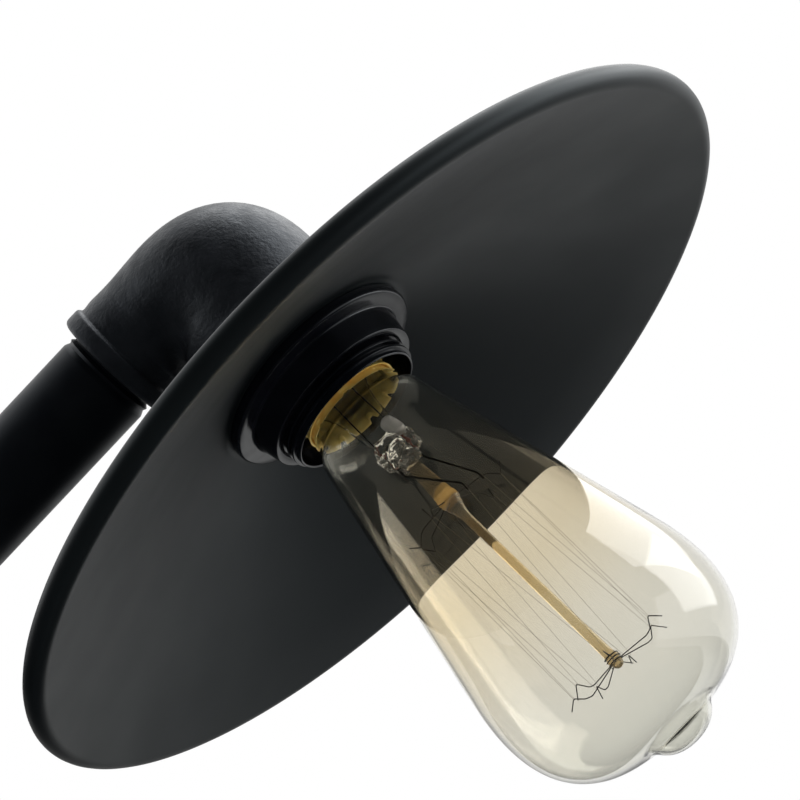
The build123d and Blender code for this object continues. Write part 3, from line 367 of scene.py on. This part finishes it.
# Glass stem: a thin flared tube, drawn up its outer wall and down its inner one
outline = [(10.4, 17.6), (10.7, 17.8)]
outline += bezier(outline[-1], (8.0, 21.0), (5.6, 24.5), (5.3, 30.0), steps=10)
outline += bezier(outline[-1], (5.2, 33.0), (4.8, 36.0), (3.8, 38.5), steps=6)
outline += [(3.5, 38.3)]
outline += bezier(outline[-1], (4.5, 36.0), (4.9, 33.0), (5.0, 30.0), steps=6)
outline += bezier(outline[-1], (5.3, 24.4), (7.7, 20.8), (10.4, 17.6), steps=10)[:-1]
stem_turned = turned("stem_turned", up_bulb(outline), sides=48, sharp=60)
set_in_head(stem_turned)
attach(stem_turned, "bulb")
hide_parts("bulb_stem")

# Pinch: the lumpy knot of glass round the leads
pinch_height, pinch_half_sizes, pinch_lumps, pinch_seed = 41.6, (5.9, 3.4, 5.6), 1.4, 11
select_only()
bpy.ops.mesh.primitive_ico_sphere_add(subdivisions=2, radius=mm, location=(0, 0, (bulb_foot + pinch_height) * mm))
pinch = named(bpy.context.object, "pinch_glass")
pinch.scale = pinch_half_sizes
apply_place()
bpy.ops.object.mode_set(mode="EDIT")
bpy.ops.mesh.select_all(action="SELECT")
bpy.ops.mesh.subdivide(number_cuts=1)
bpy.ops.transform.vertex_random(offset=pinch_lumps * mm, seed=pinch_seed)
for rounding in range(2):
    bpy.ops.mesh.subdivide(number_cuts=1, smoothness=1.0)
bpy.ops.object.mode_set(mode="OBJECT")
bpy.ops.object.shade_smooth()
set_in_head(pinch)
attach(pinch, "bulb")

# Pump tip: the sealed end of the pumping tube, leaning beside the pinch
tip_side, tip_front, tip_level = -4.0, -0.6, 38.2
outline = [(0, -5.0), (1.1, -4.9), (1.8, -4.4), (2.05, -3.4), (2.0, -1.4), (1.7, 0.4), (1.1, 1.4), (0, 1.6)]
pump_tip = turned("pump_tip", outline, sides=32, sharp=60)
pump_tip.rotation_euler = (radians(10), radians(-16), 0)
pump_tip.location = (tip_side * mm, tip_front * mm, (bulb_foot + tip_level) * mm)
apply_place()
set_in_head(pump_tip)
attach(pump_tip, "bulb")


def bent_wires(name, paths, thickness, bend):
    """Round wires through corners of radius, angle and height on the bulb, softly bent at the corners."""
    start_piece(name)
    for number, path in enumerate(paths):
        if number:
            bpy.ops.mesh.select_all(action="DESELECT")
            bpy.ops.mesh.primitive_plane_add(size=mm)
            bpy.ops.mesh.merge(type="CENTER")
        corners = []
        for radius, angle, height in path:
            turn = radians(angle)
            corners.append((radius * sin(turn) * mm, radius * cos(turn) * mm, (bulb_foot + height) * mm))
        draw_chain(corners)
    bpy.ops.mesh.select_all(action="SELECT")
    bpy.ops.mesh.bevel(offset=bend * mm, segments=3, affect="VERTICES")
    bpy.ops.object.mode_set(mode="OBJECT")
    bpy.ops.object.convert(target="CURVE")
    piece = bpy.context.object
    piece.data.bevel_depth = thickness / 2 * mm
    piece.data.bevel_resolution = 2
    piece.data.use_fill_caps = True
    bpy.ops.object.convert(target="MESH")
    piece = bpy.context.object
    bpy.ops.object.shade_smooth_by_angle(angle=radians(50))
    set_in_head(piece)
    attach(piece, "bulb")
    return piece


# Cage: fifteen places round the rod, with the two leads at the ends of the run, then low and high hooks in turn,
# each bent a little differently. Three rings of wire wrap the rod's end
cage_radius, cage_high, cage_low = 13.4, 64.2, 116.0
cage_first, cage_step = 216, 24
cage_places = [cage_first + (place + 0.5) * cage_step for place in range(15)]
hook_thickness, hook_bend = 0.28, 0.4
sway = (0.0, 0.5, -0.4, 0.3, -0.6, 0.6, -0.2)
wrap_radius, wrap_step, wrap_climb = 1.95, 30, 0.06
paths = []
for angle, lean in zip(cage_places[1::2], sway):
    paths.append((
        (1.4, angle, 117.0), (9.8, angle + 3 * lean, 118.4), (11.4, angle + 2, 118.0 + 0.4 * lean),
        (cage_radius, angle, cage_low - 0.4), (15.8, angle - 4 * lean, 118.2 + lean),
    ))
for turn, level in ((0, 114.9), (40, 115.8), (75, 116.7)):
    paths.append([(wrap_radius, turn + step * wrap_step, level + step * wrap_climb) for step in range(13)])
hooks_low = bent_wires("hooks_low", paths, hook_thickness, hook_bend)
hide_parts("lower_hooks")
paths = []
for angle, lean in zip(cage_places[2:-1:2], sway):
    paths.append((
        (1.5, angle, 60.2), (9.4, angle - 3 * lean, 61.4), (11.2, angle + 1, 61.9 - 0.4 * lean),
        (cage_radius, angle, cage_high + 0.4), (15.5, angle + 5 * lean, 61.9 - lean),
    ))
hooks_high = bent_wires("hooks_high", paths, hook_thickness, hook_bend)
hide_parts("upper_hooks")

# Filament: one fine wire up and down the cage, from one lead to the other, with a short run over each hook
hook_run = 2.4
path = [(cage_radius, cage_places[0], cage_high)]
for place, angle in enumerate(cage_places[1:-1]):
    level = cage_high if place % 2 else cage_low
    path += [(cage_radius, angle - hook_run, level), (cage_radius, angle + hook_run, level)]
path.append((cage_radius, cage_places[-1], cage_high))
filament_run = bent_wires("filament_run", [path], thickness=0.07, bend=0.3)
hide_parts("filament")

# Leads: stout from the pinch to the ends of the filament, fine from the cap to the pinch, with red seals in it
lead_reach, lead_end_reach, lead_bend = 3.4, cage_radius - 0.45, 0.5
lead_sides = (270, 90)
stout_paths = [
    ((lead_reach, side, 46.0), (lead_reach, side, 47.6), (lead_end_reach, end, cage_high - 1.0),
     (lead_end_reach, end, cage_high + 1.2))
    for side, end in zip(lead_sides, (cage_places[0], cage_places[-1]))
]
fine_paths = [((3.0, side, 14.0), (lead_reach, side, 30.0), (lead_reach, side, 46.4)) for side in lead_sides]
seal_paths = [[(lead_reach, side, height) for height in (37.4, 41.0, 44.6)] for side in lead_sides]
leads_bent = bent_wires("leads_bent", stout_paths, 0.62, lead_bend)
leads_fine = bent_wires("leads_fine", fine_paths, 0.36, lead_bend)
select_only(leads_bent)
leads_fine.select_set(True)
bpy.ops.object.join()
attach(leads_bent, "bulb")
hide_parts("lead_wires")
lead_seals = bent_wires("lead_seals", seal_paths, 0.9, lead_bend)

# The values between which a noise pattern mostly stays
pattern_low, pattern_high = 0.32, 0.68


def grey(value):
    """An even tone."""
    return (value, value, value)


def start_finish(name):
    """A new material: the material, its node tree, its shader and the place that patterns are laid by."""
    finish = bpy.data.materials.new(name)
    finish.use_nodes = True
    tree = finish.node_tree
    shader = tree.nodes["Principled BSDF"]
    place = tree.nodes.new("ShaderNodeTexCoord").outputs["Object"]
    return finish, tree, shader, place


def maths(tree, operation, *values):
    """The result of an operation on values, each a number or another node's output."""
    node = tree.nodes.new("ShaderNodeMath")
    node.operation = operation
    for socket, value in zip(node.inputs, values):
        if isinstance(value, (int, float)):
            socket.default_value = value
        else:
            tree.links.new(value, socket)
    return node.outputs["Value"]


def grain(tree, place, size, detail=2.0):
    """Noise whose lumps have a size."""
    noise = tree.nodes.new("ShaderNodeTexNoise")
    noise.inputs["Scale"].default_value = 1 / (size * mm)
    noise.inputs["Detail"].default_value = detail
    tree.links.new(place, noise.inputs["Vector"])
    return noise.outputs["Fac"]


def spread(tree, value, low, high, begin=pattern_low, end=pattern_high):
    """A pattern's value spread between two limits."""
    spreader = tree.nodes.new("ShaderNodeMapRange")
    for socket, number in (("From Min", begin), ("From Max", end), ("To Min", low), ("To Max", high)):
        spreader.inputs[socket].default_value = number
    tree.links.new(value, spreader.inputs["Value"])
    return spreader.outputs["Result"]


def tones(tree, value, stops):
    """A value as a colour through two or more tones, each with its position."""
    ramp = tree.nodes.new("ShaderNodeValToRGB")
    while len(ramp.color_ramp.elements) < len(stops):
        ramp.color_ramp.elements.new(1.0)
    for element, (position, colour) in zip(ramp.color_ramp.elements, stops):
        element.position = position
        element.color = (*colour, 1)
    tree.links.new(value, ramp.inputs["Fac"])
    return ramp.outputs["Color"]


def relief(tree, shader, layers):
    """Surface relief from patterns, each with its height."""
    below = None
    for value, height in layers:
        bump = tree.nodes.new("ShaderNodeBump")
        bump.inputs["Distance"].default_value = height * mm
        tree.links.new(value, bump.inputs["Height"])
        if below:
            tree.links.new(below, bump.inputs["Normal"])
        below = bump.outputs["Normal"]
    tree.links.new(below, shader.inputs["Normal"])


def opaque(name, dark, light, patch, rough, grains, metallic=0.0, specular=0.5, gleam=grey(1)):
    """Paint, plastic, rubber or metal: colour and gloss in patches, and a relief of grains of a size and height."""
    finish, tree, shader, place = start_finish(name)
    mottle = grain(tree, place, patch, detail=4.0)
    tree.links.new(tones(tree, mottle, ((pattern_low, dark), (pattern_high, light))), shader.inputs["Base Color"])
    worn = grain(tree, place, patch * 0.6, detail=3.0)
    tree.links.new(spread(tree, worn, *rough), shader.inputs["Roughness"])
    relief(tree, shader, [(grain(tree, place, size), height) for size, height in grains])
    shader.inputs["Metallic"].default_value = metallic
    shader.inputs["Specular IOR Level"].default_value = specular
    shader.inputs["Specular Tint"].default_value = (*gleam, 1)
    return finish


def bulb_height(tree, place, low, high):
    """A value from 0 to 1 between two heights on the bulb."""
    back = -head_turn
    axial = -head_centre[0] * sin(back) + head_centre[2] * cos(back)
    mapping = tree.nodes.new("ShaderNodeMapping")
    mapping.inputs["Rotation"].default_value = (0, back, 0)
    mapping.inputs["Location"].default_value = (0, 0, -axial)
    tree.links.new(place, mapping.inputs["Vector"])
    split = tree.nodes.new("ShaderNodeSeparateXYZ")
    tree.links.new(mapping.outputs["Vector"], split.inputs["Vector"])
    return spread(tree, split.outputs["Z"], 0, 1, (bulb_foot + low) * mm, (bulb_foot + high) * mm)


def bulb_glass_finish(name, low, high, stops, waviness, lumps=None, clearness=None, bending=1.5):
    """Glass of the bulb, in tones between two heights, with waves of a size and depth, lumps of a size and depth
    above a height, and a clearness that may vary along the heights."""
    uneven_size, uneven_share, lumps_fade = 22, 0.1, 2
    finish, tree, shader, place = start_finish(name)
    uneven = grain(tree, place, uneven_size)
    swing = maths(tree, "MULTIPLY_ADD", uneven, uneven_share, -uneven_share / 2)
    height = maths(tree, "ADD", bulb_height(tree, place, low, high), swing)
    tree.links.new(tones(tree, height, stops), shader.inputs["Base Color"])
    layers = [(grain(tree, place, size, detail=1.0), depth) for size, depth in waviness]
    if lumps:
        start, size, depth = lumps
        above = bulb_height(tree, place, start, start + lumps_fade)
        layers.append((maths(tree, "MULTIPLY", above, grain(tree, place, size, detail=1.0)), depth))
    relief(tree, shader, layers)
    shader.inputs["Transmission Weight"].default_value = 1.0
    if clearness:
        clear_stops = [(position, grey(share)) for position, share in clearness]
        tree.links.new(tones(tree, height, clear_stops), shader.inputs["Transmission Weight"])
    shader.inputs["Roughness"].default_value = 0.0
    shader.inputs["IOR"].default_value = bending
    return finish


opaque_looks = {
    "pad_rubber": dict(dark=grey(0.012), light=grey(0.03), patch=9, rough=(0.75, 0.95), grains=[(0.5, 0.05)]),
    "plate_steel": dict(dark=(0.5, 0.51, 0.53), light=(0.62, 0.63, 0.65), patch=7, rough=(0.25, 0.42),
                        grains=[(0.3, 0.006)], metallic=1.0),
    "cast_black": dict(dark=(0.009, 0.0105, 0.013), light=(0.017, 0.019, 0.023), patch=8, rough=(0.36, 0.5),
                       grains=[(2.4, 0.16), (0.9, 0.11), (0.35, 0.035)], specular=0.38, gleam=(0.78, 0.88, 1.0)),
    "bolt_black": dict(dark=(0.010, 0.010, 0.012), light=(0.018, 0.018, 0.020), patch=3, rough=(0.3, 0.45),
                       grains=[(0.3, 0.01)]),
    "switch_plastic": dict(dark=grey(0.02), light=grey(0.03), patch=4, rough=(0.4, 0.55), grains=[(0.3, 0.008)]),
    "switch_nickel": dict(dark=(0.62, 0.6, 0.57), light=(0.72, 0.7, 0.67), patch=5, rough=(0.1, 0.22),
                          grains=[(0.4, 0.002)], metallic=1.0),
    "gland_plastic": dict(dark=(0.014, 0.014, 0.015), light=(0.022, 0.022, 0.024), patch=4, rough=(0.42, 0.55),
                          grains=[(0.3, 0.01)]),
    "brass": dict(dark=(0.95, 0.64, 0.15), light=(1.0, 0.79, 0.26), patch=2.5, rough=(0.4, 0.55),
                  grains=[(0.9, 0.012), (0.3, 0.004)], metallic=0.2),
    "wire_pvc": dict(dark=(0.03, 0.06, 0.2), light=(0.05, 0.09, 0.28), patch=5, rough=(0.35, 0.5),
                     grains=[(0.4, 0.005)]),
    "pipe_black": dict(dark=(0.003, 0.004, 0.006), light=(0.006, 0.007, 0.009), patch=12, rough=(0.36, 0.45),
                       grains=[(0.5, 0.006), (5, 0.02)], specular=0.25, gleam=(0.74, 0.87, 1.0)),
    "flex_pvc": dict(dark=(0.012, 0.012, 0.013), light=(0.02, 0.02, 0.021), patch=6, rough=(0.4, 0.55),
                     grains=[(0.4, 0.006)]),
    "holder_black": dict(dark=(0.002, 0.0025, 0.004), light=(0.004, 0.0045, 0.007), patch=6, rough=(0.15, 0.22),
                         grains=[(0.7, 0.003)], specular=0.4, gleam=(0.9, 0.96, 1.0)),
    "insert_ceramic": dict(dark=(0.7, 0.69, 0.65), light=(0.8, 0.79, 0.75), patch=4, rough=(0.5, 0.7),
                           grains=[(0.3, 0.01)]),
    "shade_black": dict(dark=(0.005, 0.007, 0.008), light=(0.006, 0.0085, 0.0095), patch=30, rough=(0.42, 0.46),
                        grains=[(0.3, 0.006), (12, 0.01)], specular=0.36, gleam=(0.82, 0.94, 1.0)),
    "cap_vitrite": dict(dark=(0.006, 0.005, 0.007), light=(0.012, 0.01, 0.012), patch=3, rough=(0.1, 0.2),
                        grains=[(0.5, 0.004)]),
    "cap_solder": dict(dark=grey(0.5), light=(0.62, 0.62, 0.61), patch=2, rough=(0.25, 0.45),
                       grains=[(0.5, 0.02)], metallic=1.0),
    "hook_wire": dict(dark=(0.012, 0.011, 0.010), light=(0.03, 0.027, 0.024), patch=2, rough=(0.35, 0.55),
                      grains=[(0.3, 0.01)], metallic=0.6),
    "filament_wire": dict(dark=(0.17, 0.14, 0.10), light=(0.24, 0.20, 0.15), patch=2, rough=(0.5, 0.7),
                          grains=[(0.3, 0.005)]),
    "seal_red": dict(dark=(0.16, 0.02, 0.012), light=(0.30, 0.05, 0.025), patch=2, rough=(0.3, 0.45),
                     grains=[(0.4, 0.01)], metallic=0.3),
}
glass_looks = {
    # Bulb glass: its own amber tint with painted light in its tones. It is browner towards the shade as painted
    # shade for the dark shade reflected in the glass, and lighter at the neck as painted haze of reflected light
    "bulb_amber": dict(
        low=30, high=143, waviness=[(18, 0.05)],
        stops=[(0.0, (0.93, 0.93, 0.88)), (0.25, (0.90, 0.85, 0.74)), (0.42, (0.855, 0.79, 0.65)),
               (0.72, (0.85, 0.832, 0.77)), (1.0, (0.82, 0.82, 0.765))],
        clearness=[(0.0, 0.993), (0.5, 0.994), (0.9, 0.997)]),
    "mount_glass": dict(
        low=17, high=47, waviness=[(2.5, 0.02)], lumps=(36, 2.8, 1.2),
        stops=[(0.0, (0.99, 0.99, 0.98)), (1.0, (0.97, 0.97, 0.95))],
        clearness=[(0.6, 0.97), (1.0, 0.92)]),
    "rod_amber": dict(
        low=47, high=121, waviness=[(6, 0.02)],
        stops=[(0.0, (0.86, 0.76, 0.60)), (0.125, (0.86, 0.72, 0.50)), (0.14, (0.90, 0.62, 0.26)),
               (0.19, (0.90, 0.62, 0.26)), (0.21, (0.94, 0.91, 0.84)), (0.30, (0.86, 0.67, 0.38)),
               (0.7, (0.88, 0.75, 0.49)), (0.92, (0.80, 0.62, 0.34))],
        clearness=[(0.125, 0.92), (0.14, 0.45), (0.19, 0.45), (0.205, 0.95),
                   (0.26, 0.8), (0.91, 0.8), (0.94, 0.7)]),
    "tube_clear": dict(
        low=17, high=47, waviness=[(4, 0.01)], bending=1.15,
        stops=[(0.0, (0.99, 0.99, 0.98)), (1.0, (0.98, 0.98, 0.97))]),
    # Pump tip glass: milky white where the real tip is clear, a painted highlight standing in for the bright glints
    # on the clear glass
    "tip_white_painted_glint": dict(
        low=30, high=42, waviness=[(1.6, 0.12)],
        stops=[(0.0, (0.97, 0.97, 1.0)), (1.0, (0.93, 0.94, 0.98))],
        clearness=[(0.2, 0.1), (1.0, 0.7)]),
}
finishes = {name: opaque(name, **looks) for name, looks in opaque_looks.items()}
finishes.update({name: bulb_glass_finish(name, **looks) for name, looks in glass_looks.items()})
for row in frame["record"]["subparts"]:
    for slot in nodes[row["node"]].material_slots:
        slot.material = finishes[row["material_slot"]]
for piece, finish_name in (
    (elbow_cast, "cast_black"), (shade_cone, "shade_black"), (ring_turned, "holder_black"),
    (holder_turned, "holder_black"), (bulb_envelope, "bulb_amber"), (cap_turned, "brass"),
    (rod_turned, "rod_amber"), (stem_turned, "tube_clear"), (pinch, "mount_glass"), (pump_tip, "tip_white_painted_glint"),
    (hooks_low, "hook_wire"), (hooks_high, "hook_wire"), (filament_run, "filament_wire"),
    (leads_bent, "hook_wire"), (lead_seals, "seal_red"),
):
    piece.data.materials.clear()
    piece.data.materials.append(finishes[finish_name])


def straight_through(tree, rays):
    """A value that is 1 for rays straight through glass, and falls with each reflection on their way."""
    kept_share = 0.35
    fall = maths(tree, "POWER", kept_share, rays["Glossy Depth"])
    return maths(tree, "MULTIPLY", rays["Is Transmission Ray"], fall)


def blended(tree, value, first, second, end):
    """Two shaders blended by a value into an output node."""
    blend = tree.nodes.new("ShaderNodeMixShader")
    tree.links.new(value, blend.inputs["Fac"])
    tree.links.new(first, blend.inputs[1])
    tree.links.new(second, blend.inputs[2])
    tree.links.new(blend.outputs["Shader"], tree.nodes[end].inputs["Surface"])


# Studio floor: pale paper that fades to plain white far off and, for rays through glass, everywhere
floor_size, fade_start, fade_end = 12, 0.35, 2.0
select_only()
bpy.ops.mesh.primitive_plane_add(size=floor_size)
floor = bpy.context.object
floor.name = "studio_floor"
floor.data.materials.append(opaque("floor_paper", dark=(0.80, 0.80, 0.79), light=(0.83, 0.83, 0.82), patch=90,
                                   rough=(0.8, 0.9), grains=[(1.2, 0.02)], specular=0.2))
tree = floor.active_material.node_tree
white = tree.nodes.new("ShaderNodeEmission")
white.inputs["Strength"].default_value = 1.0
rays = tree.nodes.new("ShaderNodeLightPath").outputs
reach = tree.nodes.new("ShaderNodeVectorMath")
reach.operation = "LENGTH"
tree.links.new(tree.nodes.new("ShaderNodeTexCoord").outputs["Object"], reach.inputs[0])
fade = spread(tree, reach.outputs["Value"], 0, 1, fade_start, fade_end)
far = maths(tree, "MULTIPLY", fade, rays["Is Camera Ray"])
plain = maths(tree, "MAXIMUM", far, straight_through(tree, rays))
blended(tree, plain, tree.nodes["Principled BSDF"].outputs["BSDF"], white.outputs["Emission"], "Material Output")


def soft_box(name, place, aim, width, height, brightness):
    """A rectangular soft box at a place, turned to a point, with a brightness where 1 is white."""
    bpy.ops.object.light_add(type="AREA", location=place)
    lamp = bpy.context.object
    lamp.name = name
    lamp.data.shape = "RECTANGLE"
    lamp.data.size = width
    lamp.data.size_y = height
    lamp.data.energy = brightness * pi * width * height
    offset = [a - p for a, p in zip(aim, place)]
    flat = sqrt(offset[0] ** 2 + offset[1] ** 2)
    lamp.rotation_euler = (atan2(flat, -offset[2]), 0, atan2(offset[1], offset[0]) - pi / 2)
    lamp.visible_camera = False


# Soft boxes overhead and at the right
soft_box("overhead_box", (0.39, 0.45, 1.45), (0.33, 0.3, 0.3), width=1.5, height=1.35, brightness=2.1)
soft_box("right_box", (0.933, 0.22, 0.957), (0.17, 0.05, 0.31), width=0.84, height=0.8, brightness=2.4)

# Dark cloths of the room before the lamp, clear to rays straight through glass
room_cloth = opaque("room_cloth", dark=(0.01, 0.011, 0.013), light=(0.02, 0.021, 0.024), patch=60,
                    rough=(0.85, 0.95), grains=[(1.5, 0.02)], specular=0.1)
tree = room_cloth.node_tree
clear = tree.nodes.new("ShaderNodeBsdfTransparent")
straight = straight_through(tree, tree.nodes.new("ShaderNodeLightPath").outputs)
blended(tree, straight, tree.nodes["Principled BSDF"].outputs["BSDF"], clear.outputs["BSDF"], "Material Output")


def dark_card(name, place, turn, width, height):
    """A dark cloth that only shows as a reflection."""
    select_only()
    bpy.ops.mesh.primitive_plane_add(size=1, location=place, rotation=turn)
    card = bpy.context.object
    card.name = name
    card.scale = (width, height, 1)
    apply_place()
    card.data.materials.append(room_cloth)
    card.visible_camera = card.visible_diffuse = card.visible_shadow = False


dark_card("cloth_upright", (0.1, -1.1, 0.75), (radians(90), 0, 0), width=3.4, height=1.7)
dark_card("cloth_flat", (0.1, -0.25, 0.002), (0, 0, 0), width=3.4, height=1.7)
dark_card("cloth_over", (0.1, -0.69, 1.6), (0, 0, 0), width=3.4, height=0.84)

# Surround: plain white to the camera, to reflections and through glass, and dimmer as light
surround_light, surround_white = 0.35, 1.0
scene = bpy.context.scene
scene.world = bpy.data.worlds.new("studio_surround")
scene.world.use_nodes = True
tree = scene.world.node_tree
lit = tree.nodes["Background"]
seen = tree.nodes.new("ShaderNodeBackground")
for background, strength in ((lit, surround_light), (seen, surround_white)):
    background.inputs["Color"].default_value = (1, 1, 1, 1)
    background.inputs["Strength"].default_value = strength
rays = tree.nodes.new("ShaderNodeLightPath").outputs
seen_by = straight_through(tree, rays)
for kind in ("Is Camera Ray", "Is Glossy Ray"):
    seen_by = maths(tree, "MAXIMUM", rays[kind], seen_by)
blended(tree, seen_by, lit.outputs["Background"], seen.outputs["Background"], "World Output")
scene.view_settings.view_transform = "Standard"
